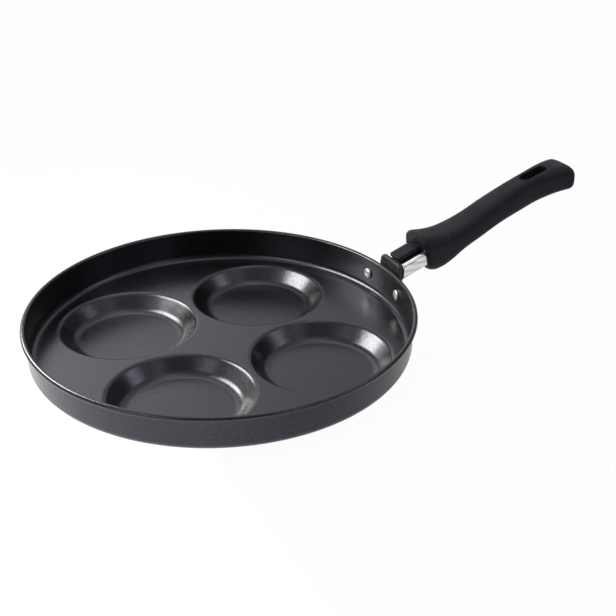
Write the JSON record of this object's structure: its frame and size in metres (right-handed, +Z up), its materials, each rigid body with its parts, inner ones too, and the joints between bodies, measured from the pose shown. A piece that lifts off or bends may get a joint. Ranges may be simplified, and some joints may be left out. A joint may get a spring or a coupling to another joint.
{
  "type": "four-cup pancake pan",
  "caption": "Round non-stick pan with shallow round cups pressed into its floor, a riveted bracket, a bright oblong flame guard and a raised phenolic handle with a hanging slot.",
  "frame": {"origin": "on the pan's axis, on the top of the flat floor between the cups", "axes": "+X from the pan's axis towards the handle, +Z up, +Y to the left when seen from the pan looking along the handle"},
  "size_m": [0.4268, 0.27, 0.0932],
  "materials": {
    "coated_sheet": "satin black non-stick coating on pressed sheet",
    "bracket_paint": "glossy black stove paint",
    "guard_chrome": "bright chrome plate",
    "phenolic": "matte black moulded phenolic",
    "rivet_aluminium": "bare, lightly polished",
    "zinc_steel": "zinc plated"
  },
  "bodies": {
    "root": {"pan_body": "coated_sheet", "rivet_left": "rivet_aluminium", "rivet_right": "rivet_aluminium", "handle_bracket": "bracket_paint", "flame_guard": "guard_chrome", "handle_grip": "phenolic", "bracket_nut": "zinc_steel", "screw_washer": "zinc_steel", "lock_washer": "zinc_steel", "handle_screw": "zinc_steel"}
  },
  "joints": []
}
